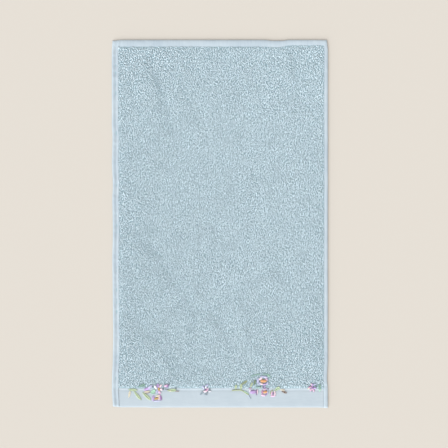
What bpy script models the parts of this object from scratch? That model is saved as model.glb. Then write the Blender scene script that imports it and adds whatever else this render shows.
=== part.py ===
"""Hand towel: one piece of terry cloth laid flat, with turned side and top hems and a plain woven end band.

Metres, +Z up. The towel is 300 mm wide along X and 512 mm long along Y, with its plain end band at -Y.
It lies on its flat underside. The origin is under the middle of the towel, on the surface it lies on.
"""

import math

import bmesh
import bpy
from mathutils import Vector

MM = 0.001

# Cut size of the cloth, its thickness over the tips of the loops, and the spacing of its surface grid.
WIDTH = 300 * MM
LENGTH = 512 * MM
PILE_THICKNESS = 3.0 * MM
GRID_SPACING = 7.0 * MM

# The flat underside stops this far inside the widest line of the rounded edge.
EDGE_TUCK = 0.7 * MM

# How each edge rises to the pile, one row for each line that runs along the edge.
# (distance in from the edge in mm, thickness of the cloth there in mm)
LEFT_HEM = ((0.0, 0.7), (0.8, 1.7), (2.2, 2.2), (6.6, 2.2), (8.4, 1.7), (9.8, 2.6), (12.5, 3.0))
RIGHT_HEM = ((0.0, 0.7), (0.8, 1.6), (2.0, 2.0), (4.8, 2.1), (6.0, 1.6), (7.4, 2.6), (10.0, 3.0))
TOP_HEM = ((0.0, 0.6), (0.8, 1.5), (2.4, 1.9), (8.4, 2.1), (10.6, 1.5), (12.0, 2.6), (14.5, 3.0))
END_BAND = (
    (0.0, 0.5),
    (0.7, 1.1),
    (2.0, 1.4),
    (12.0, 1.4),
    (22.6, 1.4),
    (23.8, 1.2),
    (24.6, 1.8),
    (25.8, 1.8),
    (26.6, 1.4),
    (28.0, 2.6),
    (30.5, 3.0),
)

# The top hem is turned in narrower towards the right-hand corner.
# (place across the width in mm, share of the hem's full depth)
TOP_HEM_SHARE = ((-150, 1.0), (82, 1.0), (94, 0.8), (150, 0.8))

# How far the edges of the cloth wander out of a true rectangle.
# (place along the length in mm, left edge outwards in mm, right edge outwards in mm)
SIDE_EDGES = (
    (-256, -0.5, 0.1),
    (-232, 0.7, 0.0),
    (-215, 0.5, -0.9),
    (-190, -0.5, 0.0),
    (-157, -1.0, 0.0),
    (-120, -0.5, 0.1),
    (-48, 0.2, 0.0),
    (-14, -0.5, 0.0),
    (36, 0.2, 0.1),
    (52, -0.5, 0.2),
    (86, 0.6, 0.1),
    (119, 0.0, 0.2),
    (140, 0.8, 0.1),
    (240, 0.8, 0.2),
    (256, 0.1, -1.1),
)
# (place across the width in mm, end edge outwards in mm, top edge outwards in mm)
END_EDGES = (
    (-150, -1.4, -1.1),
    (-136, -0.2, 0.0),
    (-106, -0.2, 0.0),
    (-93, 0.5, 0.0),
    (-78, 0.0, 0.0),
    (62, 0.0, 0.0),
    (74, 0.0, -1.0),
    (88, 0.0, -1.0),
    (98, 0.0, 0.0),
    (134, 0.0, 0.0),
    (150, 0.6, -0.2),
)

# Soft creases left in the cloth, each along a straight run; a negative rise is a trough.
# (start x, start y, end x, end y, width, rise), all in mm
CREASES = (
    (-100, 234, -86, 192, 11, -0.45),
    (-86, 192, -68, 126, 11, -0.45),
    (-70, 186, -60, 150, 10, 0.35),
    (-54, 194, -41, 162, 10, -0.45),
    (90, 236, 95, 206, 9, 0.25),
    (99, 238, 105, 204, 10, -0.45),
    (-128, -6, -96, -35, 13, -0.35),
    (-96, -35, -34, -125, 13, -0.40),
    (-124, -125, -100, -157, 12, -0.35),
    (-100, -157, -82, -166, 12, -0.35),
    (-88, -182, -78, -206, 10, 0.35),
    (-75, -180, -62, -210, 10, -0.45),
    (-12, -122, -2, -142, 10, -0.35),
    (26, -101, 40, -124, 11, -0.35),
    (77, -63, 91, -86, 11, -0.35),
)


def remove_everything():
    for thing in list(bpy.data.objects):
        bpy.data.objects.remove(thing, do_unlink=True)


def eased(table, place, column):
    """The named column of a table at a place in mm, eased from each row to the next."""
    if place <= table[0][0]:
        return table[0][column]
    for before, after in zip(table, table[1:]):
        if place <= after[0]:
            share = (place - before[0]) / (after[0] - before[0])
            share = share * share * (3 - 2 * share)
            return before[column] + (after[column] - before[column]) * share
    return table[-1][column]


def lines_across(size, low_edge, high_edge):
    """Grid lines from the low edge to the high edge, each as (distance from the middle, thickness)."""
    low = [(-size / 2 + inward * MM, thick * MM) for inward, thick in low_edge]
    high = [(size / 2 - inward * MM, thick * MM) for inward, thick in reversed(high_edge)]
    first, last = low[-1][0], high[0][0]
    count = round((last - first) / GRID_SPACING)
    pile = [(first + (last - first) * step / count, PILE_THICKNESS) for step in range(1, count)]
    return low + pile + high


def turned_in(u, v):
    """Draws the top hem's lines together where the hem is turned in narrower."""
    depth = LENGTH / 2 - v
    if depth > TOP_HEM[-1][0] * MM:
        return v
    return LENGTH / 2 - depth * eased(TOP_HEM_SHARE, u / MM, 1)


def laid(u, v):
    """Where the point (u, v) of the cut rectangle lies once the edges wander."""
    v = turned_in(u, v)
    across = u / WIDTH + 0.5
    along = v / LENGTH + 0.5
    left = -eased(SIDE_EDGES, v / MM, 1) * (1 - across)
    right = eased(SIDE_EDGES, v / MM, 2) * across
    end = -eased(END_EDGES, u / MM, 1) * (1 - along)
    top = eased(END_EDGES, u / MM, 2) * along
    return u + (left + right) * MM, v + (end + top) * MM


def crease_rise(x, y):
    """Rise of the cloth at a point from all the soft creases."""
    point = Vector((x, y)) / MM
    rise = 0.0
    for x0, y0, x1, y1, width, height in CREASES:
        start = Vector((x0, y0))
        run = Vector((x1, y1)) - start
        share = min(max((point - start).dot(run) / run.length_squared, 0), 1)
        away = (point - start - run * share).length / (width / 2)
        rise += height * math.exp(-away * away)
    return rise * MM


def tucked_under(point):
    """Foot of the rounded edge on the underside: the same point of the rim, a little further in."""
    x, y, _ = point
    if abs(x) > WIDTH / 2 - 2 * EDGE_TUCK:
        x -= math.copysign(EDGE_TUCK, x)
    if abs(y) > LENGTH / 2 - 3 * EDGE_TUCK:
        y -= math.copysign(EDGE_TUCK, y)
    return x, y, 0


def make_towel_mesh():
    """Top surface on a grid of lines, a rounded rim all round, and an underside that is one flat plane."""
    columns = lines_across(WIDTH, LEFT_HEM, RIGHT_HEM)
    rows = lines_across(LENGTH, END_BAND, TOP_HEM)
    build = bmesh.new()

    top = []
    for v, row_thickness in rows:
        line = []
        for u, column_thickness in columns:
            x, y = laid(u, v)
            thickness = min(row_thickness, column_thickness)
            on_pile = thickness / PILE_THICKNESS
            line.append(build.verts.new((x, y, thickness + crease_rise(x, y) * on_pile)))
        top.append(line)
    for low_line, high_line in zip(top, top[1:]):
        for at in range(len(columns) - 1):
            build.faces.new((low_line[at], low_line[at + 1], high_line[at + 1], high_line[at]))

    left_rim = [line[0] for line in top]
    right_rim = [line[-1] for line in top]
    rim = top[0][:-1] + right_rim[:-1] + top[-1][:0:-1] + left_rim[:0:-1]
    foot = {vertex: build.verts.new(tucked_under(vertex.co)) for vertex in rim}
    for vertex, after in zip(rim, rim[1:] + rim[:1]):
        build.faces.new((foot[vertex], foot[after], after, vertex))

    # The underside is a ladder of flat strips from side to side, and each end strip takes all of its edge.
    left_foot = [foot[vertex] for vertex in left_rim]
    right_foot = [foot[vertex] for vertex in right_rim]
    build.faces.new([foot[vertex] for vertex in top[0][::-1]] + [left_foot[1], right_foot[1]])
    for at in range(1, len(rows) - 2):
        build.faces.new((left_foot[at], left_foot[at + 1], right_foot[at + 1], right_foot[at]))
    build.faces.new([foot[vertex] for vertex in top[-1]] + [right_foot[-2], left_foot[-2]])

    mesh = bpy.data.meshes.new("towel")
    build.to_mesh(mesh)
    build.free()
    return mesh


def centre_on_box(mesh):
    """Moves the mesh so that the middle of its box is over the origin."""
    for axis in (0, 1):
        places = [vertex.co[axis] for vertex in mesh.vertices]
        middle = (min(places) + max(places)) / 2
        for vertex in mesh.vertices:
            vertex.co[axis] -= middle


def terry_cotton():
    """Pale blue-grey cotton, dull and slightly sheeny."""
    material = bpy.data.materials.new("terry_cotton")
    material.use_nodes = True
    shader = material.node_tree.nodes["Principled BSDF"]
    shader.inputs["Base Color"].default_value = (0.485, 0.610, 0.665, 1.0)
    shader.inputs["Roughness"].default_value = 0.9
    shader.inputs["Metallic"].default_value = 0.0
    return material


def make_towel():
    mesh = make_towel_mesh()
    centre_on_box(mesh)
    mesh.materials.append(terry_cotton())
    towel = bpy.data.objects.new("towel", mesh)
    bpy.context.scene.collection.objects.link(towel)


remove_everything()
make_towel()
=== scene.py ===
"""Hand towel, 300 by 512 mm: terry cotton with turned hems, a plain woven end and embroidered sprigs.

It lies flat and face up. X runs across it, Y runs along it away from the plain end, and Z is up.
The tables below are in millimetres on the cloth, from the middle of the towel.
"""

import math

import bpy
import numpy as np
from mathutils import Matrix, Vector, noise


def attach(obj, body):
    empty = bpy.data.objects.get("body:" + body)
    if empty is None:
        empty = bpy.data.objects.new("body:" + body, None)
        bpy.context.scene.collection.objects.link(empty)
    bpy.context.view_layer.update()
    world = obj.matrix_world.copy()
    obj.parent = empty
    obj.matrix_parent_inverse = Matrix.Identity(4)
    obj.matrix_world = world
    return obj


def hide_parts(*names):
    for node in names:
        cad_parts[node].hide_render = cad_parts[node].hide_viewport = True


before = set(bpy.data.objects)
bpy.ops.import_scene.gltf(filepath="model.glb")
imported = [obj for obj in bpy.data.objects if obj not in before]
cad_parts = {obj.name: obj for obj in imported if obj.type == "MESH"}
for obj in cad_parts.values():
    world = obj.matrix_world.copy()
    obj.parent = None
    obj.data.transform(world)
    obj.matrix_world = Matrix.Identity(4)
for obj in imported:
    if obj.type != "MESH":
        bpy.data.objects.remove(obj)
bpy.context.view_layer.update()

# ---------------------------------------------------------------------------------------------
# THE GROUND CLOTH
# The towel is one length of cotton, woven so that a second warp stands up in loops on both faces.
# This is the woven ground that holds the loops. It is cut 300 by 512 mm and lies where it was
# smoothed out by hand, so its edges wander a little and a few soft creases are left in it.
MM = 0.001
WIDTH = 300
LENGTH = 512
GROUND_LOW, GROUND_HIGH = 0.75, 1.45  # the woven ground, above the surface that the towel lies on
GROUND_GRID = 2.5
GROUND_INSET = 2.0  # the ground ends this far inside the cut edge, under the turned hems
PLAIN_END = 25.0  # and this far from the near end, where the cloth is woven plain
UNDER_DROP, UNDER_WAVE, UNDER_SIZE = 0.45, 0.4, 3.1  # the uneven underside: how low, how uneven, how wide
GROUND_CREASE = 0.9  # share of the soft creases that the ground takes
LEAST_HEIGHT = 0.02  # so that nothing goes below the surface

# (place along the length, left edge outwards, right edge outwards)
SIDE_EDGES = (
    (-256, -0.5, 0.1),
    (-232, 0.7, 0.0),
    (-215, 0.5, -0.9),
    (-190, -0.5, 0.0),
    (-157, -1.0, 0.0),
    (-120, -0.5, 0.1),
    (-48, 0.2, 0.0),
    (-14, -0.5, 0.0),
    (36, 0.2, 0.1),
    (52, -0.5, 0.2),
    (86, 0.6, 0.1),
    (119, 0.0, 0.2),
    (140, 0.8, 0.1),
    (240, 0.8, 0.2),
    (256, 0.1, -1.1),
)
# (place across the width, end edge outwards, top edge outwards)
END_EDGES = (
    (-150, -1.4, -1.1),
    (-136, -0.2, 0.0),
    (-106, -0.2, 0.0),
    (-93, 0.5, 0.0),
    (-78, 0.0, 0.0),
    (62, 0.0, 0.0),
    (74, 0.0, -1.0),
    (88, 0.0, -1.0),
    (98, 0.0, 0.0),
    (134, 0.0, 0.0),
    (150, 0.6, -0.2),
)
# Soft creases: (start x, start y, end x, end y, width, rise); a negative rise is a trough.
CREASES = (
    (-100, 234, -86, 192, 11, -0.45),
    (-86, 192, -68, 126, 11, -0.45),
    (-70, 186, -60, 150, 10, 0.35),
    (-54, 194, -41, 162, 10, -0.45),
    (90, 236, 95, 206, 9, 0.25),
    (99, 238, 105, 204, 10, -0.45),
    (-128, -6, -96, -35, 13, -0.35),
    (-96, -35, -34, -125, 13, -0.40),
    (-124, -125, -100, -157, 12, -0.35),
    (-100, -157, -82, -166, 12, -0.35),
    (-88, -182, -78, -206, 10, 0.35),
    (-75, -180, -62, -210, 10, -0.45),
    (-12, -122, -2, -142, 10, -0.35),
    (26, -101, 40, -124, 11, -0.35),
    (77, -63, 91, -86, 11, -0.35),
)


def eased(places, table, column):
    """One column of a table at many places, eased from each row to the next."""
    rows = np.array(table, float)
    at = np.clip(np.searchsorted(rows[:, 0], places) - 1, 0, len(rows) - 2)
    share = np.clip((places - rows[at, 0]) / (rows[at + 1, 0] - rows[at, 0]), 0, 1)
    share = share * share * (3 - 2 * share)
    return rows[at, column] + (rows[at + 1, column] - rows[at, column]) * share


def wandered(u, v):
    """Where points of the cut rectangle lie once its edges wander."""
    across, along = u / WIDTH + 0.5, v / LENGTH + 0.5
    x = u - eased(v, SIDE_EDGES, 1) * (1 - across) + eased(v, SIDE_EDGES, 2) * across
    y = v - eased(u, END_EDGES, 1) * (1 - along) + eased(u, END_EDGES, 2) * along
    return x, y


def laid(u, v):
    """The same points, moved so that the middle of the towel's box is over the origin."""
    x, y = wandered(u, v)
    return x - BOX_MIDDLE[0], y - BOX_MIDDLE[1]


def box_middle():
    """Middle of the box round the wandering outline."""
    sides, ends = np.linspace(-0.5, 0.5, 400) * LENGTH, np.linspace(-0.5, 0.5, 400) * WIDTH
    left, right = wandered(-WIDTH / 2 + 0 * sides, sides)[0], wandered(WIDTH / 2 + 0 * sides, sides)[0]
    end, top = wandered(ends, -LENGTH / 2 + 0 * ends)[1], wandered(ends, LENGTH / 2 + 0 * ends)[1]
    return (left.min() + right.max()) / 2, (end.min() + top.max()) / 2


BOX_MIDDLE = box_middle()


def crease_rise(x, y):
    """Rise of the cloth from all the soft creases."""
    rise = 0 * x
    for x0, y0, x1, y1, width, height in CREASES:
        run_x, run_y = x1 - x0, y1 - y0
        share = ((x - x0) * run_x + (y - y0) * run_y) / (run_x**2 + run_y**2)
        share = np.clip(share, 0, 1)
        away = np.hypot(x - x0 - run_x * share, y - y0 - run_y * share) / (width / 2)
        rise = rise + height * np.exp(-away * away)
    return rise


def uneven(x, y, size, seed):
    """Smooth unevenness between about -1 and 1, with swellings of about the given size."""
    points = np.broadcast_arrays(x / size, y / size, seed * 7.3)
    flat = np.stack([part.ravel() for part in points], axis=1)
    return np.array([noise.noise(Vector(point)) for point in flat]).reshape(np.shape(x)) * 1.6


def linear(hex_colour):
    """A linear colour from an sRGB one such as #b9cdd5."""
    parts = [int(hex_colour[at : at + 2], 16) / 255 for at in (1, 3, 5)]
    return tuple(c / 12.92 if c <= 0.04045 else ((c + 0.055) / 1.055) ** 2.4 for c in parts) + (1.0,)


def add_node(material, kind, inputs=None, **settings):
    """Adds a node; inputs are values or sockets to link, by name or number."""
    tree = material.node_tree
    node = tree.nodes.new(kind)
    for name, value in settings.items():
        setattr(node, name, value)
    for name, value in (inputs or {}).items():
        if isinstance(value, bpy.types.NodeSocket):
            tree.links.new(value, node.inputs[name])
        else:
            node.inputs[name].default_value = value
    return node


def new_material(name):
    """A material with an empty set of nodes."""
    material = bpy.data.materials.new(name)
    material.use_nodes = True
    material.node_tree.nodes.clear()
    return material


def finish_piece(piece, material):
    """Smooth shading, the finish, and the body that the piece rides on."""
    piece.data.shade_smooth()
    piece.data.materials.clear()
    piece.data.materials.append(material)
    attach(piece, "root")
    return piece


def add_grid(name, low, high, step):
    """A flat grid of faces between two corners, its lines about one step apart."""
    wide, long = high[0] - low[0], high[1] - low[1]
    bpy.ops.object.select_all(action="DESELECT")
    bpy.ops.mesh.primitive_grid_add(
        x_subdivisions=round(wide / step),
        y_subdivisions=round(long / step),
        size=MM,
        location=((low[0] + high[0]) / 2 * MM, (low[1] + high[1]) / 2 * MM, 0),
    )
    piece = bpy.context.object
    piece.name = piece.data.name = name
    piece.scale = (wide, long, 1)
    bpy.ops.object.transform_apply(location=True, rotation=False, scale=True)
    return piece


def points_of(piece):
    """The piece's points in mm, one row each."""
    found = np.empty(len(piece.data.vertices) * 3)
    piece.data.vertices.foreach_get("co", found)
    return found.reshape(-1, 3) / MM


def move_points(piece, points):
    """Puts the piece's points at new places, given in mm."""
    piece.data.vertices.foreach_set("co", (points * MM).ravel())
    piece.data.update()


def woven_ground():
    """Plain woven cotton under the loops: dull, and coloured deeper than the pile as painted shade in the
    gaps between the loops.
    """
    material = new_material("woven_cotton_ground")
    place = add_node(material, "ShaderNodeTexCoord").outputs["Object"]
    mottle = add_node(material, "ShaderNodeTexNoise", {"Vector": place, "Scale": 60.0, "Detail": 3.0})
    # Both ground colours are deeper than the yarn's: painted shade where the loops shade the ground
    # between them.
    colour = add_node(
        material,
        "ShaderNodeMix",
        {0: mottle.outputs[0], 6: linear("#8ca2aa"), 7: linear("#9db3bb")},
        data_type="RGBA",
    )
    nubs = add_node(material, "ShaderNodeTexNoise", {"Vector": place, "Scale": 900.0, "Detail": 2.0})
    bump = add_node(material, "ShaderNodeBump", {"Height": nubs.outputs[0], "Distance": 0.0005})
    shader = add_node(
        material,
        "ShaderNodeBsdfPrincipled",
        {
            "Base Color": colour.outputs[2],
            "Roughness": 0.95,
            "Normal": bump.outputs[0],
            "Sheen Weight": 0.2,
        },
    )
    add_node(material, "ShaderNodeOutputMaterial", {"Surface": shader.outputs[0]})
    return material


def make_ground():
    """A thin slab of cloth with the wandering outline, the soft creases and an uneven underside."""
    edge_x, edge_y = WIDTH / 2 - GROUND_INSET, LENGTH / 2 - GROUND_INSET
    ground = add_grid("ground_cloth", (-edge_x, PLAIN_END - LENGTH / 2), (edge_x, edge_y), GROUND_GRID)
    solid = ground.modifiers.new("thickness", "SOLIDIFY")
    solid.thickness = (GROUND_HIGH - GROUND_LOW) * MM
    solid.offset = -1
    bpy.ops.object.modifier_apply(modifier="thickness")
    u, v, z = points_of(ground).T
    x, y = laid(u, v)
    is_top = z > -0.1
    top = GROUND_HIGH + GROUND_CREASE * crease_rise(x, y)
    under = GROUND_LOW - UNDER_DROP + UNDER_WAVE * uneven(x, y, UNDER_SIZE, 1)
    z = np.where(is_top, top, np.maximum(under, LEAST_HEIGHT))
    move_points(ground, np.stack([x, y, z], axis=1))
    return finish_piece(ground, woven_ground())


ground = make_ground()

# ---------------------------------------------------------------------------------------------
# THE HEMS AND THE PLAIN END
# Each raw edge is turned in twice and sewn down, so a hem is a flat roll of the plain woven selvedge.
# At the near end the cloth is woven plain for 25 mm, with one thick rib of weft where the pile starts.
# The sections are (share of the depth in from the edge, share of the height), from the outside in.
LEFT_SECTION = (
    (0.00, 0.40),
    (0.02, 0.66),
    (0.08, 0.87),
    (0.16, 0.98),
    (0.25, 1.00),
    (0.35, 0.93),
    (0.45, 0.80),
    (0.55, 0.70),
    (0.64, 0.72),
    (0.73, 0.86),
    (0.82, 1.00),
    (0.90, 0.98),
    (0.96, 0.78),
    (1.00, 0.40),
)
RIGHT_SECTION = (
    (0.00, 0.40),
    (0.02, 0.66),
    (0.08, 0.86),
    (0.18, 0.97),
    (0.32, 1.00),
    (0.48, 1.00),
    (0.62, 0.96),
    (0.76, 0.88),
    (0.88, 0.76),
    (0.96, 0.58),
    (1.00, 0.30),
)
TOP_SECTION = (
    (0.00, 0.36),
    (0.02, 0.58),
    (0.07, 0.79),
    (0.15, 0.93),
    (0.27, 1.00),
    (0.41, 1.00),
    (0.55, 0.97),
    (0.69, 0.91),
    (0.82, 0.82),
    (0.92, 0.72),
    (0.97, 0.56),
    (1.00, 0.30),
)
BAND_SECTION = (
    (0.000, 0.30),
    (0.006, 0.50),
    (0.016, 0.68),
    (0.032, 0.80),
    (0.060, 0.90),
    (0.100, 0.97),
    (0.150, 1.00),
    (0.220, 1.00),
    (0.300, 1.00),
    (0.380, 1.00),
    (0.460, 1.00),
    (0.540, 1.00),
    (0.620, 1.00),
    (0.700, 1.00),
    (0.770, 0.98),
    (0.810, 0.92),
    (0.845, 0.78),
    (0.880, 0.84),
    (0.910, 1.02),
    (0.940, 1.12),
    (0.970, 1.02),
    (1.000, 0.60),
)
LEFT_DEPTH, RIGHT_DEPTH, TOP_DEPTH, BAND_DEPTH = 9.6, 5.8, 10.2, 28.0
HEM_HEIGHT, TOP_HEIGHT, BAND_HEIGHT = 2.2, 2.3, 1.4
HEM_STEP = 1.2
# Folds pressed across a hem: (place along it, width, rise)
LEFT_FOLDS = ((196, 5.0, -0.30), (222, 4.0, -0.35), (205, 3.0, 0.25), (236, 3.0, 0.2), (118, 4.0, -0.25))
RIGHT_FOLDS = ((-226, 3.5, -0.55), (160, 4.0, -0.2))
TOP_FOLDS = (
    (-146, 2.4, 0.3),
    (-142.6, 1.6, -0.55),
    (-140.3, 1.3, 0.35),
    (-138.0, 1.6, -0.6),
    (-134, 2.4, 0.2),
)
BAND_FOLDS = ((-96, 16.0, 0.10), (-30, 24.0, -0.10), (40, 18.0, 0.12), (104, 20.0, -0.10))
# The top hem is turned in narrower towards the right-hand corner: (place across, share of its depth).
TOP_SHARE = ((-150, 1.0), (82, 1.0), (94, 0.82), (150, 0.82))
# How far each edge of the rolled cloth stands outside the cut size.
RIGHT_PROUD, END_PROUD = 0.5, 0.9
HEM_END_ROUND = 1.3  # a hem rounds down over this length at its ends
PUCKER_GAP, SMALL_PUCKER_GAP = 9.0, 4.2  # about how far apart the puckers are
SAG_SIZE, SAG_LENGTH = 9.0, 6.5  # sizes of the two kinds of sag
HEM_CREASE = 0.6  # share of the soft creases that a hem takes
RIB_WANDER, RIB_WANDER_SIZE = 0.7, 26


def puckers(along, seed, gap, low, high):
    """Ridges where the sewing draws the hem up, unevenly spaced along it."""
    chance = np.random.default_rng(seed)
    rise = 0 * along
    place = along.min() - gap
    while place < along.max() + gap:
        place += gap * chance.uniform(0.45, 1.6)
        away = (along - place) / chance.uniform(1.3, 2.6)
        rise = rise + chance.uniform(low, high) * np.exp(-away * away)
    return rise


def turned_hem(name, place_on, low, high, depth, height, section, folds, pucker, sag, seed):
    """A flat closed roll of cloth along an edge. place_on turns (along, inward) into a place on it."""
    along = np.linspace(low, high, round((high - low) / HEM_STEP) + 1)
    near_end = np.minimum(along - low, high - along)
    end_round = np.sqrt(np.clip(near_end / HEM_END_ROUND, 0.05, 1))[:, None]
    under = ((0.96, 0.02), (0.50, 0.00), (0.04, 0.02))
    section = np.array(section + under)
    lift = section[:, 1]
    along, inward = np.meshgrid(along, section[:, 0] * depth, indexing="ij")
    ridge = puckers(along + 0.35 * inward, seed, PUCKER_GAP, -pucker, pucker)
    small = 0.35 * pucker
    ridge = ridge + puckers(along - 0.2 * inward, seed + 50, SMALL_PUCKER_GAP, -small, small)
    for place, wide, rise in folds:
        away = (along + 0.15 * inward - place) / (wide / 2)
        ridge = ridge + rise * np.exp(-away * away)
    patches = 0.6 * uneven(along, inward * 2.5, SAG_SIZE, seed)
    ridge = ridge + sag * (patches - 0.8 * uneven(along, 0 * along, SAG_LENGTH, seed + 3))
    middle = np.sin(np.pi * np.clip(section[:, 0], 0, 1)) ** 0.7
    u, v = place_on(along, inward)
    x, y = laid(u, v)
    z = lift * height * end_round + ridge * middle * lift + HEM_CREASE * crease_rise(x, y) * lift
    return ring_piece(name, np.stack([x, y, np.maximum(z, 0.01)], axis=2))


def ring_piece(name, rings):
    """A closed piece from rings of points, with its faces turned outwards."""
    count, sides = rings.shape[:2]
    faces = [tuple(range(sides)), tuple((count - 1) * sides + at for at in range(sides))]
    for ring in range(count - 1):
        for at in range(sides):
            after = (at + 1) % sides
            here, there = ring * sides, (ring + 1) * sides
            faces.append((here + at, here + after, there + after, there + at))
    mesh = bpy.data.meshes.new(name)
    mesh.from_pydata((rings.reshape(-1, 3) * MM).tolist(), [], faces)
    piece = bpy.data.objects.new(name, mesh)
    bpy.context.scene.collection.objects.link(piece)
    bpy.ops.object.select_all(action="DESELECT")
    piece.select_set(True)
    bpy.context.view_layer.objects.active = piece
    bpy.ops.object.mode_set(mode="EDIT")
    bpy.ops.mesh.select_all(action="SELECT")
    bpy.ops.mesh.normals_make_consistent(inside=False)
    bpy.ops.object.mode_set(mode="OBJECT")
    return piece


def plain_weave(name, light, deep, across):
    """Smooth mercerised cotton with a faint sheen and fine ribs.

    Its threads are 0.5 mm apart, but the ribs are drawn at 1.2 mm so that they show.
    """
    material = new_material(name)
    place = add_node(material, "ShaderNodeTexCoord").outputs["Object"]
    cloud = add_node(material, "ShaderNodeTexNoise", {"Vector": place, "Scale": 38.0, "Detail": 2.0})
    turn = (0, 0, math.radians(90)) if across else (0, 0, 0)
    turned = add_node(material, "ShaderNodeMapping", {"Vector": place, "Rotation": turn})
    ribs = add_node(
        material,
        "ShaderNodeTexWave",
        {
            "Vector": turned.outputs[0],
            "Scale": 260.0,
            "Distortion": 1.2,
            "Detail": 2.0,
            "Detail Scale": 1.5,
        },
        bands_direction="Y",
    )
    streak_place = add_node(
        material, "ShaderNodeMapping", {"Vector": turned.outputs[0], "Scale": (60.0, 900.0, 60.0)}
    )
    streak = add_node(material, "ShaderNodeTexNoise", {"Vector": streak_place.outputs[0], "Scale": 1.0})
    mixed = add_node(
        material, "ShaderNodeMath", {0: cloud.outputs[0], 1: streak.outputs[0]}, operation="ADD"
    )
    ramp = add_node(
        material, "ShaderNodeMapRange", {"Value": mixed.outputs[0], "From Min": 0.7, "From Max": 1.3}
    )
    colour = add_node(
        material,
        "ShaderNodeMix",
        {0: ramp.outputs[0], 6: linear(deep), 7: linear(light)},
        data_type="RGBA",
    )
    bump = add_node(
        material,
        "ShaderNodeBump",
        {"Height": ribs.outputs["Fac"], "Distance": 0.00008, "Strength": 0.6},
    )
    shader = add_node(
        material,
        "ShaderNodeBsdfPrincipled",
        {
            "Base Color": colour.outputs[2],
            "Roughness": 0.72,
            "Normal": bump.outputs[0],
            "Sheen Weight": 0.15,
            "Specular IOR Level": 0.35,
        },
    )
    add_node(material, "ShaderNodeOutputMaterial", {"Surface": shader.outputs[0]})
    return material


HEM_COTTON = plain_weave("plain_woven_cotton_hem", "#b1bcc3", "#a1aeb8", True)
BAND_COTTON = plain_weave("plain_woven_cotton_band", "#b1bbc2", "#a9b4bc", False)
HALF_LONG, HALF_WIDE = LENGTH / 2, WIDTH / 2


def on_left(along, inward):
    return -HALF_WIDE + inward, along


def on_right(along, inward):
    return HALF_WIDE + RIGHT_PROUD - inward, along


def on_top(along, inward):
    return along, HALF_LONG - inward * eased(along, TOP_SHARE, 1)


def on_end(along, inward):
    rib = np.clip(inward / BAND_DEPTH * 4 - 3, 0, 1)
    astray = RIB_WANDER * rib * uneven(along, 0 * along, RIB_WANDER_SIZE, 8)
    return along, -HALF_LONG - END_PROUD + inward + astray


# (name, edge, from, to, depth, height, section, folds, pucker, sag, seed)
HEMS = (
    (
        "hem_left", on_left, -HALF_LONG - END_PROUD, HALF_LONG - 1.5,
        LEFT_DEPTH, HEM_HEIGHT, LEFT_SECTION, LEFT_FOLDS, 0.35, 0.34, 11,
    ),
    (
        "hem_right", on_right, -HALF_LONG - END_PROUD, HALF_LONG - 1.5,
        RIGHT_DEPTH, HEM_HEIGHT, RIGHT_SECTION, RIGHT_FOLDS, 0.2, 0.15, 12,
    ),
    (
        "hem_top", on_top, -HALF_WIDE, HALF_WIDE + RIGHT_PROUD,
        TOP_DEPTH, TOP_HEIGHT, TOP_SECTION, TOP_FOLDS, 0.15, 0.12, 13,
    ),
)
hems = [finish_piece(turned_hem(*hem), HEM_COTTON) for hem in HEMS]
band = turned_hem(
    "end_band",
    on_end,
    -HALF_WIDE + LEFT_DEPTH - 1.5,
    HALF_WIDE - RIGHT_DEPTH + 1.5,
    BAND_DEPTH,
    BAND_HEIGHT,
    BAND_SECTION,
    BAND_FOLDS,
    0.05,
    0.04,
    14,
)
finish_piece(band, BAND_COTTON)

# ---------------------------------------------------------------------------------------------
# THE EMBROIDERY
# Two sprigs and two single flowers are worked by machine in rayon thread, over the edge of the pile.
# Petals and leaves are satin stitch, stems are stem stitch and the dots are knots. The thread is 0.4 mm;
# it is laid here 0.7 mm thick and 0.6 mm apart, so that a stitch can be seen.
STITCH_GAP, STITCH_THICK = 0.6, 0.72
RAYON = {
    "white": "#e9e6ee",
    "lavender": "#c6c6e0",
    "lilac": "#c3a9d6",
    "mauve": "#ad88ba",
    "violet": "#7f6590",
    "pink": "#e3c3da",
    "blush": "#f1dbe2",
    "rose": "#c08fae",
    "gold": "#c2a063",
    "orange": "#d9a273",
    "cream": "#e6dcc8",
    "olive": "#a3ab83",
    "moss": "#7f8f6c",
    "leaf": "#bccbaa",
    "mint": "#b9dfc6",
    "sage": "#93b3a4",
    "slate": "#717c86",
    "brown": "#948379",
    "grey": "#a3b0ba",
}


def cloth_top(x, y):
    """Height of what a stitch lies on: the plain band, or the pile that the stitching holds down."""
    rise = np.clip((y + HALF_LONG - BAND_DEPTH + 2.5) / 4, 0, 1)
    return BAND_HEIGHT + 0.05 + 0.95 * rise * rise * (3 - 2 * rise) + crease_rise(x, y)


def stitch(x0, y0, x1, y1, thread, lift=0.6, thick=STITCH_THICK):
    """One stitch as a row: where it goes in and out, its lift, its thickness and its colour."""
    return (x0, y0, x1, y1, lift, thick, *linear(RAYON[thread])[:3])


def turned_by(points, x, y, turn):
    """Points given along and across a shape, turned by some degrees and put at its middle."""
    cos, sin = math.cos(math.radians(turn)), math.sin(math.radians(turn))
    return [(x + a * cos - b * sin, y + a * sin + b * cos) for a, b in points]


def petal(x, y, long, wide, turn, thread, lift=0.9):
    """Satin stitches side by side across an oval, slanting a little."""
    rows = max(3, round(long / STITCH_GAP))
    stitches = []
    for row in range(rows):
        share = (row + 0.5) / rows * 2 - 1
        half = wide / 2 * math.sqrt(1 - share * share)
        ends = [(share * long / 2 - 0.3 * half, -half), (share * long / 2 + 0.3 * half, half)]
        (x0, y0), (x1, y1) = turned_by(ends, x, y, turn)
        stitches.append(stitch(x0, y0, x1, y1, thread, lift * (0.75 + 0.25 * math.cos(share * 1.5))))
    return stitches


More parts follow.
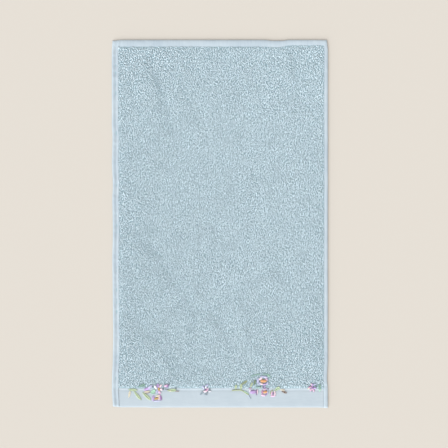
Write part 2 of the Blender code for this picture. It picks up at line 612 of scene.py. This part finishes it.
def leaf(x, y, long, wide, turn, thread, vein=None, lift=0.8):
    """A pointed leaf: slanting stitches from the margin to the middle on each side, and a vein."""
    rows = max(4, round(long / STITCH_GAP / 1.15))
    stitches = []
    for row in range(rows):
        share = (row + 0.5) / rows * 2 - 1
        half = wide / 2 * (1 - share * share) ** 0.8
        for side in (-1, 1):
            ends = [(share * long / 2 + 0.9 * half, side * half), (share * long / 2, side * 0.15)]
            (x0, y0), (x1, y1) = turned_by(ends, x, y, turn)
            stitches.append(stitch(x0, y0, x1, y1, thread, lift))
    if vein:
        ends = turned_by([(-0.45 * long, 0), (0.5 * long, 0)], x, y, turn)
        stitches += stem(ends, vein, 0.7)
    return stitches


def stem(points, thread, thick=0.9):
    """Stem stitch: short slanting stitches, each starting halfway along the one before."""
    stitches = []
    for (x0, y0), (x1, y1) in zip(points, points[1:]):
        run = math.hypot(x1 - x0, y1 - y0)
        steps = max(1, round(run / 1.2))
        side = ((y0 - y1) / run * 0.25, (x1 - x0) / run * 0.25)
        for step in range(steps):
            start, stop = step / steps, min((step + 1.9) / steps, 1.15)
            stitches.append(
                stitch(
                    x0 + (x1 - x0) * start - side[0],
                    y0 + (y1 - y0) * start - side[1],
                    x0 + (x1 - x0) * stop + side[0],
                    y0 + (y1 - y0) * stop + side[1],
                    thread,
                    0.55,
                    thick,
                )
            )
    return stitches


def knot(x, y, size, thread):
    """A French knot: short thick turns of thread over one another."""
    stitches = []
    for turn in (10, 70, 130):
        (x0, y0), (x1, y1) = turned_by([(-size / 2, 0), (size / 2, 0)], x, y, turn)
        stitches.append(stitch(x0, y0, x1, y1, thread, 1.0, 0.5 * size))
    return stitches


# Each row is a shape with its middle, length, width and turn in degrees, and its thread.
LEFT_SPRIG = (
    (leaf, -121.5, -231.8, 12.0, 4.0, -6, "leaf", "olive"),
    (leaf, -126.0, -238.2, 9.5, 3.0, 78, "cream", "olive"),
    (leaf, -114.8, -239.8, 15.0, 4.2, -51, "leaf", "olive"),
    (leaf, -102.2, -240.6, 15.5, 4.6, -43, "leaf", "olive"),
    (leaf, -108.6, -226.0, 9.5, 4.0, 18, "sage"),
    (petal, -101.4, -230.6, 9.0, 5.0, 14, "lilac"),
    (petal, -97.8, -228.2, 9.5, 4.6, 38, "lavender"),
    (petal, -101.5, -234.4, 8.0, 2.8, 4, "cream"),
    (stem, ((-104.5, -236.2), (-100.5, -236.4), (-97.0, -235.4)), "brown"),
    (knot, -93.8, -227.6, 2.6, "slate"),
    (petal, -86.2, -226.0, 5.5, 5.0, 80, "lilac"),
    (petal, -89.6, -228.0, 6.0, 3.8, 120, "white"),
    (petal, -82.4, -226.4, 5.0, 3.4, 50, "blush"),
    (petal, -81.4, -231.2, 5.4, 3.8, 0, "blush"),
    (petal, -87.6, -233.8, 5.6, 4.2, 60, "lavender"),
    (petal, -83.8, -235.4, 5.0, 4.0, 115, "pink"),
    (stem, ((-87.2, -224.6), (-86.9, -228.2)), "violet", 1.6),
    (petal, -84.8, -230.8, 4.8, 3.2, 100, "gold", 1.3),
    (stem, ((-84.0, -236.6), (-85.2, -239.0)), "mauve", 1.4),
    (petal, -92.6, -243.6, 7.6, 4.4, 84, "lilac"),
    (petal, -86.2, -240.2, 6.0, 3.2, 12, "cream"),
    (petal, -82.2, -243.0, 7.4, 3.4, 100, "mauve"),
    (petal, -84.6, -243.6, 5.0, 3.2, 80, "blush"),
    (petal, -87.4, -247.2, 9.0, 2.6, 4, "lavender"),
    (petal, -88.0, -243.8, 6.4, 3.6, 6, "gold", 1.3),
    (leaf, -93.6, -234.6, 8.0, 5.0, 28, "mint", "sage"),
    (stem, ((-97.0, -236.0), (-93.6, -237.2), (-90.4, -236.6)), "sage", 1.5),
    (knot, -79.2, -231.0, 3.4, "slate"),
    (stem, ((-77.0, -231.0), (-74.6, -231.3), (-71.6, -231.4)), "slate", 1.0),
    (petal, -75.2, -226.0, 5.4, 3.8, 20, "pink"),
    (petal, -73.0, -226.8, 4.4, 3.2, 60, "mauve"),
    (stem, ((-77.6, -224.4), (-75.0, -223.8)), "slate", 1.2),
    (knot, -71.0, -224.4, 2.0, "violet"),
    (leaf, -67.2, -232.4, 12.5, 4.6, 4, "leaf", "olive"),
    (knot, -68.8, -233.4, 2.2, "cream"),
    (knot, -61.4, -229.8, 2.4, "slate"),
    (stem, ((-62.5, -233.6), (-57.4, -234.0)), "brown", 0.9),
)
MIDDLE_FLOWER = (
    (petal, -18.2, -225.8, 5.4, 3.2, 30, "lavender"),
    (petal, -22.8, -228.2, 4.8, 3.0, 120, "lavender"),
    (petal, -19.3, -228.4, 3.4, 3.0, 90, "white"),
    (petal, -17.0, -231.2, 4.6, 2.8, 70, "pink"),
    (petal, -20.2, -234.0, 5.4, 2.8, 5, "blush"),
    (petal, -18.4, -231.8, 3.0, 2.4, 40, "rose", 1.2),
    (stem, ((-21.8, -231.0), (-19.6, -231.3)), "violet", 1.7),
    (knot, -17.3, -235.2, 2.0, "slate"),
    (knot, -14.1, -231.3, 2.4, "slate"),
    (petal, -14.0, -234.2, 4.0, 1.8, 0, "white"),
    (leaf, -25.2, -236.6, 6.6, 3.0, 48, "grey"),
    (leaf, -19.8, -238.2, 4.6, 2.6, 0, "grey"),
)
RIGHT_SPRIG = (
    (stem, ((16.7, -232.7), (22.5, -232.2), (28.4, -232.1)), "olive", 1.5),
    (stem, ((28.4, -232.1), (32.0, -233.2), (36.5, -236.4), (39.8, -238.6)), "olive", 1.5),
    (stem, ((39.8, -238.6), (42.8, -244.2)), "grey", 1.5),
    # A pale mint stitch along the top of the stem: a painted highlight where light catches the stem.
    (stem, ((33.5, -233.2), (39.6, -236.8)), "mint", 1.2),
    (leaf, 22.4, -228.2, 6.6, 3.4, 82, "leaf", "olive"),
    (leaf, 29.6, -228.0, 8.6, 3.8, 86, "leaf", "olive"),
    (leaf, 34.2, -221.8, 9.6, 3.0, 36, "olive"),
    (leaf, 44.0, -225.2, 7.4, 3.2, 66, "leaf", "brown"),
    (leaf, 48.8, -221.4, 6.8, 2.4, 84, "moss"),
    (stem, ((50.0, -228.4), (57.0, -228.0)), "sage", 1.5),
    (knot, 56.6, -228.0, 2.0, "moss"),
    (petal, 46.2, -234.8, 8.6, 5.6, 4, "lilac"),
    (petal, 47.4, -236.0, 6.0, 3.0, 10, "mauve"),
    (stem, ((43.8, -232.8), (47.6, -232.5)), "violet", 1.5),
    (stem, ((40.2, -229.8), (44.0, -229.4)), "rose", 1.1),
    (petal, 42.2, -232.8, 3.4, 2.6, 70, "white"),
    (petal, 52.6, -234.4, 6.6, 1.8, 88, "blush"),
    (stem, ((51.2, -231.2), (51.2, -238.4)), "violet", 1.3),
    (petal, 53.4, -219.0, 7.6, 4.2, 84, "lavender"),
    (petal, 57.0, -216.0, 5.4, 3.8, 30, "blush"),
    (petal, 58.8, -213.4, 5.0, 3.0, 10, "lavender"),
    (petal, 63.8, -214.0, 6.0, 3.6, -10, "lavender"),
    (petal, 65.4, -217.0, 5.0, 3.0, -50, "pink"),
    (petal, 66.2, -222.8, 5.0, 3.4, 70, "lavender"),
    (petal, 62.6, -224.0, 4.6, 3.0, 10, "lilac"),
    (petal, 58.0, -223.4, 4.6, 2.8, -20, "blush"),
    (petal, 55.4, -222.8, 4.0, 3.0, 50, "lavender"),
    (petal, 60.8, -219.4, 8.8, 5.4, -6, "orange", 1.2),
    (stem, ((56.8, -218.4), (57.4, -221.2), (60.4, -222.6)), "brown", 1.4),
    (knot, 66.2, -219.6, 2.0, "slate"),
    (stem, ((61.2, -225.4), (62.8, -227.2)), "lilac", 1.5),
    (knot, 60.5, -228.4, 2.8, "violet"),
    (knot, 63.9, -229.4, 2.4, "mauve"),
    (knot, 67.2, -230.6, 2.4, "violet"),
    (petal, 59.4, -235.0, 5.4, 3.4, 84, "rose"),
    (petal, 62.2, -231.4, 4.2, 2.6, 4, "pink"),
    (petal, 66.6, -235.4, 5.0, 3.0, 84, "lavender"),
    (petal, 60.6, -239.4, 6.0, 3.4, -12, "pink"),
    (petal, 65.0, -238.2, 4.4, 2.2, 40, "mauve"),
    (petal, 63.4, -234.8, 5.8, 5.0, 0, "orange", 1.2),
    (knot, 62.0, -234.0, 1.8, "brown"),
    (petal, 74.2, -240.4, 6.6, 3.2, 4, "pink"),
    (petal, 76.8, -236.8, 7.2, 3.2, 96, "blush"),
    (petal, 72.6, -236.6, 6.0, 2.8, 80, "pink"),
    (knot, 74.6, -236.8, 3.0, "violet"),
    (stem, ((70.6, -238.4), (70.8, -234.8), (73.8, -232.4)), "olive", 1.4),
    (leaf, 79.6, -230.8, 9.0, 5.2, 32, "leaf", "sage"),
    # The cream stitches at the top of the brown end are a painted highlight on it.
    (petal, 87.4, -231.8, 6.4, 2.2, -8, "cream"),
    (leaf, 89.6, -234.8, 8.0, 3.0, -22, "brown"),
    (stem, ((43.0, -213.2), (48.0, -211.0), (55.6, -209.8)), "sage", 1.1),
    (stem, ((60.0, -209.4), (67.6, -210.2), (70.4, -213.4)), "sage", 1.2),
    (stem, ((66.0, -211.8), (69.0, -212.4)), "mint", 1.3),
)
CORNER_FLOWER = (
    (petal, 129.2, -225.4, 4.6, 3.4, 84, "lilac"),
    (petal, 125.8, -228.0, 4.8, 3.2, 10, "rose"),
    (petal, 127.2, -231.8, 5.0, 3.4, 50, "pink"),
    (petal, 130.6, -232.2, 5.0, 3.4, 110, "pink"),
    (petal, 132.4, -229.4, 4.4, 3.2, 160, "lilac"),
    (petal, 132.2, -224.4, 3.6, 2.4, 30, "lavender"),
    (petal, 127.6, -224.2, 3.4, 2.0, 120, "blush"),
    (knot, 129.2, -228.6, 3.6, "violet"),
    (knot, 133.9, -227.0, 2.8, "slate"),
    (stem, ((126.4, -234.2), (129.0, -234.1)), "grey", 1.1),
    (leaf, 139.0, -228.4, 8.6, 3.6, 88, "sage"),
    (leaf, 139.4, -232.4, 4.4, 2.6, 70, "mint"),
    (petal, 124.0, -230.0, 3.4, 1.8, 0, "cream"),
)


def thread_piece(name, paths, thick, dye, sides):
    """One closed tube of yarn along each row of path points, pointed at both ends.

    paths is (threads, points, 3) and thick is (threads, points), in mm. dye is a colour for each thread.
    Every thread has a square of its own on the map that its colours are kept on.
    """
    many, long = paths.shape[:2]
    run = np.gradient(paths, axis=1)
    run /= np.maximum(np.linalg.norm(run, axis=2, keepdims=True), 1e-9)
    side = np.cross(run, (0.0, 0.0, 1.0))
    side /= np.maximum(np.linalg.norm(side, axis=2, keepdims=True), 1e-6)
    up = np.cross(side, run)
    turns = np.arange(sides) / sides * 2 * np.pi + np.pi / 2
    ring = np.cos(turns)[:, None] * side[:, 1:-1, None] + np.sin(turns)[:, None] * up[:, 1:-1, None]
    ring = paths[:, 1:-1, None] + ring * thick[:, 1:-1, None, None] / 2
    points = np.concatenate([paths[:, :1], ring.reshape(many, -1, 3), paths[:, -1:]], axis=1)

    def corner(row, at):
        """Number of a point of one thread, and its place along and round the thread."""
        inside = 0 < row < long - 1
        tip = 0 if row == 0 else points.shape[1] - 1
        number = 1 + (row - 1) * sides + at % sides if inside else tip
        return number, (row / (long - 1), at / sides if inside else (at + 0.5) / sides)

    faces = []
    for at in range(sides):
        faces.append((corner(0, at), corner(1, at + 1), corner(1, at)))
        for row in range(1, long - 2):
            faces.append((corner(row, at), corner(row, at + 1), corner(row + 1, at + 1)))
            faces.append((corner(row, at), corner(row + 1, at + 1), corner(row + 1, at)))
        faces.append((corner(long - 2, at), corner(long - 2, at + 1), corner(long - 1, at)))
    numbers = np.array([[one[0] for one in face] for face in faces])
    places = np.array([[one[1] for one in face] for face in faces])
    each = np.arange(many)
    all_faces = (numbers + each[:, None, None] * points.shape[1]).reshape(-1, 3)
    squares = math.ceil(math.sqrt(many))
    square = np.stack([each % squares, each // squares], axis=1)
    flat = (square[:, None, None] + 0.08 + 0.84 * places) / squares

    mesh = bpy.data.meshes.new(name)
    mesh.from_pydata(points.reshape(-1, 3) * MM, [], all_faces)
    mesh.uv_layers.new(name="OFBake").uv.foreach_set("vector", flat.astype(np.float32).ravel())
    colours = np.ones((many, points.shape[1], 4), np.float32)
    colours[:, :, :3] = dye[:, None]
    mesh.attributes.new("dye", "FLOAT_COLOR", "POINT").data.foreach_set("color", colours.ravel())
    piece = bpy.data.objects.new(name, mesh)
    bpy.context.scene.collection.objects.link(piece)
    return piece


def rayon_thread():
    """Twisted rayon: smooth and a little glossy, in the dye of each stitch."""
    material = new_material("rayon_embroidery_thread")
    dye = add_node(material, "ShaderNodeAttribute", attribute_name="dye")
    place = add_node(material, "ShaderNodeTexCoord").outputs["Object"]
    cloud = add_node(material, "ShaderNodeTexNoise", {"Vector": place, "Scale": 700.0, "Detail": 1.0})
    worn = add_node(
        material, "ShaderNodeMapRange", {"Value": cloud.outputs[0], "To Min": 0.88, "To Max": 1.1}
    )
    colour = add_node(
        material,
        "ShaderNodeVectorMath",
        {0: dye.outputs["Color"], "Scale": worn.outputs[0]},
        operation="SCALE",
    )
    shader = add_node(
        material,
        "ShaderNodeBsdfPrincipled",
        {"Base Color": colour.outputs[0], "Roughness": 0.45, "Sheen Weight": 0.1},
    )
    add_node(material, "ShaderNodeOutputMaterial", {"Surface": shader.outputs[0]})
    return material


def embroidered(name, rows):
    """A piece of embroidery, and its stitches as rows of start, end, lift, thickness and colour."""
    stitches = np.array([one for shape, *measures in rows for one in shape(*measures)])
    start, end, lift = stitches[:, :2], stitches[:, 2:4], stitches[:, 4]
    shares = np.array([0.0, 0.2, 0.5, 0.8, 1.0])
    arch = np.array([-0.4, 0.75, 1.0, 0.75, -0.4])
    flat = start[:, None] + (end - start)[:, None] * shares[:, None]
    high = cloth_top(flat[:, :, 0], flat[:, :, 1]) + (lift[:, None] - 0.2) * arch
    paths = np.concatenate([flat, high[:, :, None]], axis=2)
    thick = np.repeat(stitches[:, 5:6], 5, axis=1)
    piece = thread_piece(name, paths, thick, stitches[:, 6:], 4)
    return finish_piece(piece, RAYON_THREAD), stitches


RAYON_THREAD = rayon_thread()
worked = [
    embroidered("embroidery_left_sprig", LEFT_SPRIG),
    embroidered("embroidery_middle_flower", MIDDLE_FLOWER),
    embroidered("embroidery_right_sprig", RIGHT_SPRIG),
    embroidered("embroidery_corner_flower", CORNER_FLOWER),
]
all_stitches = np.concatenate([stitches for piece, stitches in worked])

# ---------------------------------------------------------------------------------------------
# THE PILE
# Loops of soft twisted yarn stand 1.6 mm out of the ground, one every 1.8 mm across and 2.3 mm along.
# Each is a short arch that washing has leaned and curled its own way, mostly along the towel. Beside the
# hems the sewing holds them down, and under the embroidery they are pressed flat.
LOOP_ACROSS, LOOP_ALONG = 1.8, 2.3
LOOP_RISE, LOOP_SPAN, YARN_THICK = 1.55, 2.9, 1.04
ASTRAY_ACROSS, ASTRAY_ALONG = 0.34, 0.45  # how far washing moves a loop's foot
BY_HEM, HEM_REACH = 0.68, 4.0  # share of its height that the pile keeps at a hem, and how far that reaches
BY_STITCH, STITCH_HALF, STITCH_REACH = 0.30, 0.7, 1.6
PILE_PIECES = 4


def held_down(u, v):
    """Share of its height that the pile keeps beside the hems and under the embroidery."""
    beside = np.minimum(u + HALF_WIDE - LEFT_DEPTH, HALF_WIDE - RIGHT_DEPTH - u)
    beside = np.minimum(beside, HALF_LONG - TOP_DEPTH - v)
    share = BY_HEM + (1 - BY_HEM) * np.clip(beside / HEM_REACH, 0, 1)
    x, y = laid(u, v)
    near = np.flatnonzero(y < all_stitches[:, [1, 3]].max() + 4)
    start, run = all_stitches[:, :2], all_stitches[:, 2:4] - all_stitches[:, :2]
    place = np.stack([x[near], y[near]], axis=1)[:, None] - start
    along = np.clip((place * run).sum(axis=2) / (run * run).sum(axis=1), 0, 1)
    away = np.linalg.norm(place - along[:, :, None] * run, axis=2).min(axis=1)
    free = np.clip((away - STITCH_HALF) / STITCH_REACH, 0, 1)
    share[near] = np.minimum(share[near], BY_STITCH + (1 - BY_STITCH) * free)
    return share


def loop_places():
    """Foot places of all the loops, in rows and columns that weaving keeps and washing disturbs."""
    low_u, high_u = -HALF_WIDE + LEFT_DEPTH - 0.2, HALF_WIDE - RIGHT_DEPTH + 0.6
    low_v, high_v = -HALF_LONG - END_PROUD + BAND_DEPTH + 0.8, HALF_LONG - 0.8 * TOP_DEPTH
    columns = np.arange(low_u, high_u, LOOP_ACROSS)
    rows = np.arange(low_v, high_v, LOOP_ALONG)
    u, v = (part.ravel() for part in np.meshgrid(columns, rows, indexing="ij"))
    v = v + np.repeat(np.arange(len(columns)) % 2, len(rows)) * LOOP_ALONG / 2
    u = u + CHANCE.normal(0, ASTRAY_ACROSS, len(u))
    v = v + CHANCE.normal(0, ASTRAY_ALONG, len(v))
    kept = v < HALF_LONG - TOP_DEPTH * eased(u, TOP_SHARE, 1) - 0.3
    return u[kept], v[kept]


def loop_paths(u, v):
    """Five points of each loop: a foot, a shoulder, the crown, the other shoulder and the other foot."""
    many = len(u)
    x, y = laid(u, v)
    lean = uneven(x, y, 16, 2) * 34 + uneven(x, y, 5, 3) * 26
    heading = np.radians(90 + lean + CHANCE.normal(0, 24, many))
    ahead = np.stack([np.cos(heading), np.sin(heading), 0 * heading], axis=1)
    aside = np.stack([-np.sin(heading), np.cos(heading), 0 * heading], axis=1)
    span = LOOP_SPAN * CHANCE.uniform(0.75, 1.25, many)
    rise = LOOP_RISE * CHANCE.uniform(0.66, 1.12, many) * (1 + 0.08 * uneven(x, y, 12, 4))
    rise = rise * held_down(u, v)
    tip = CHANCE.normal(0, 0.38, many)[:, None] * aside + CHANCE.normal(0, 0.30, many)[:, None] * ahead
    curl = CHANCE.normal(0, 0.28, many)[:, None] * aside
    foot = np.stack([x, y, GROUND_HIGH - 0.35 + crease_rise(x, y)], axis=1)
    up = np.array([0.0, 0.0, 1.0])
    half = span[:, None] / 2 * ahead
    high = rise[:, None] * up
    return np.stack(
        [
            foot - 0.9 * half,
            foot - 0.82 * half + curl + 0.5 * tip + 0.66 * high,
            foot + tip + 1.12 * high,
            foot + 0.82 * half - curl + 0.5 * tip + 0.66 * high,
            foot + 0.9 * half,
        ],
        axis=1,
    )


def terry_yarn():
    """Soft, dull, low-twist cotton yarn with a random tone for each loop, and painted light and shade:
    paler at the crowns, deeper at the feet.
    """
    material = new_material("terry_cotton_yarn")
    place = add_node(material, "ShaderNodeTexCoord").outputs["Object"]
    height = add_node(material, "ShaderNodeSeparateXYZ", {"Vector": place}).outputs["Z"]
    # Height on the loop, from foot to crown: it paints light on the crowns and shade at the feet of the
    # loops.
    lift = add_node(
        material,
        "ShaderNodeMapRange",
        {"Value": height, "From Min": GROUND_HIGH * MM, "From Max": (GROUND_HIGH + LOOP_RISE) * MM},
    )
    dye = add_node(material, "ShaderNodeAttribute", attribute_name="dye")
    cloud = add_node(material, "ShaderNodeTexNoise", {"Vector": place, "Scale": 55.0, "Detail": 3.0})
    worn = add_node(
        material,
        "ShaderNodeMath",
        {0: dye.outputs["Fac"], 1: 0.50, 2: 0.0},
        operation="MULTIPLY_ADD",
    )
    # Painted light and shade by height, added to each loop's random tone.
    painted_crown_light_and_tone = add_node(
        material,
        "ShaderNodeMath",
        {0: lift.outputs[0], 1: 0.55, 2: worn.outputs[0]},
        operation="MULTIPLY_ADD",
    )
    share = add_node(
        material,
        "ShaderNodeMath",
        {0: cloud.outputs[0], 1: 0.25, 2: painted_crown_light_and_tone.outputs[0]},
        operation="MULTIPLY_ADD",
        use_clamp=True,
    )
    colour = add_node(
        material,
        "ShaderNodeMix",
        {0: share.outputs[0], 6: linear("#9bb1bc"), 7: linear("#e9f7fe")},
        data_type="RGBA",
    )
    shader = add_node(
        material,
        "ShaderNodeBsdfPrincipled",
        {
            "Base Color": colour.outputs[2],
            "Roughness": 0.92,
            "Sheen Weight": 0.25,
            "Specular IOR Level": 0.2,
        },
    )
    add_node(material, "ShaderNodeOutputMaterial", {"Surface": shader.outputs[0]})
    return material


CHANCE = np.random.default_rng(5)
TERRY_YARN = terry_yarn()
loops = loop_paths(*loop_places())
openness = uneven(loops[:, 2, 0], loops[:, 2, 1], 22, 9)
tones = 0.5 + (CHANCE.uniform(0, 1, len(loops)) - 0.5) * np.clip(1.0 + 0.6 * openness, 0.35, 1.6)
for part, chosen in enumerate(np.array_split(np.arange(len(loops)), PILE_PIECES)):
    thick = np.full((len(chosen), 5), YARN_THICK) * CHANCE.uniform(0.85, 1.15, (len(chosen), 1))
    tone = np.repeat(tones[chosen, None], 3, axis=1)
    piece = thread_piece(f"pile_{part + 1}", loops[chosen], thick, tone, 3)
    finish_piece(piece, TERRY_YARN)

# ---------------------------------------------------------------------------------------------
# THE FLOOR, THE LIGHT AND THE CAMERA
# The towel lies on a plain pale board. A broad soft light stands low on the left, near the plain end,
# and the camera looks straight down.
FLOOR_SIZE = 8.0


def pale_surface():
    """Matt board: one flat warm grey that shows only the towel's soft shadow."""
    material = new_material("pale_matt_board")
    shader = add_node(
        material, "ShaderNodeBsdfPrincipled", {"Base Color": linear("#c3bcb3"), "Roughness": 0.9}
    )
    add_node(material, "ShaderNodeOutputMaterial", {"Surface": shader.outputs[0]})
    return material


bpy.ops.object.select_all(action="DESELECT")
bpy.ops.mesh.primitive_plane_add(size=FLOOR_SIZE)
floor = bpy.context.object
floor.name = "floor"
floor.data.materials.append(pale_surface())

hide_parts("towel")

LIGHT_FROM = Vector((-0.65, -0.90, 0.46))
bpy.ops.object.light_add(type="SUN", location=LIGHT_FROM)
lamp = bpy.context.object
lamp.name = "soft_light"
lamp.rotation_euler = LIGHT_FROM.to_track_quat("Z", "Y").to_euler()
lamp.data.angle = math.radians(60)
lamp.data.energy = 4.4
lamp.data.color = (0.94, 1.0, 1.04)

world = bpy.data.worlds.new("room_light")
bpy.context.scene.world = world
world.use_nodes = True
world.node_tree.nodes["Background"].inputs["Color"].default_value = (1.0, 0.985, 0.97, 1.0)
world.node_tree.nodes["Background"].inputs["Strength"].default_value = 0.93
bpy.context.scene.view_settings.view_transform = "Standard"

VIEW_WIDTH = 624.3 * MM  # what the camera sees across, at the cloth
LENS, SENSOR = 85.0, 36.0
CLOTH_FACE = 2.5 * MM
VIEW_MIDDLE = (5.9 * MM, -0.6 * MM)
view_height = VIEW_WIDTH * LENS / SENSOR + CLOTH_FACE
bpy.ops.object.camera_add(location=(*VIEW_MIDDLE, view_height), rotation=(0, 0, 0))
camera = bpy.context.object
camera.data.lens = LENS
camera.data.sensor_width = SENSOR
bpy.context.scene.camera = camera
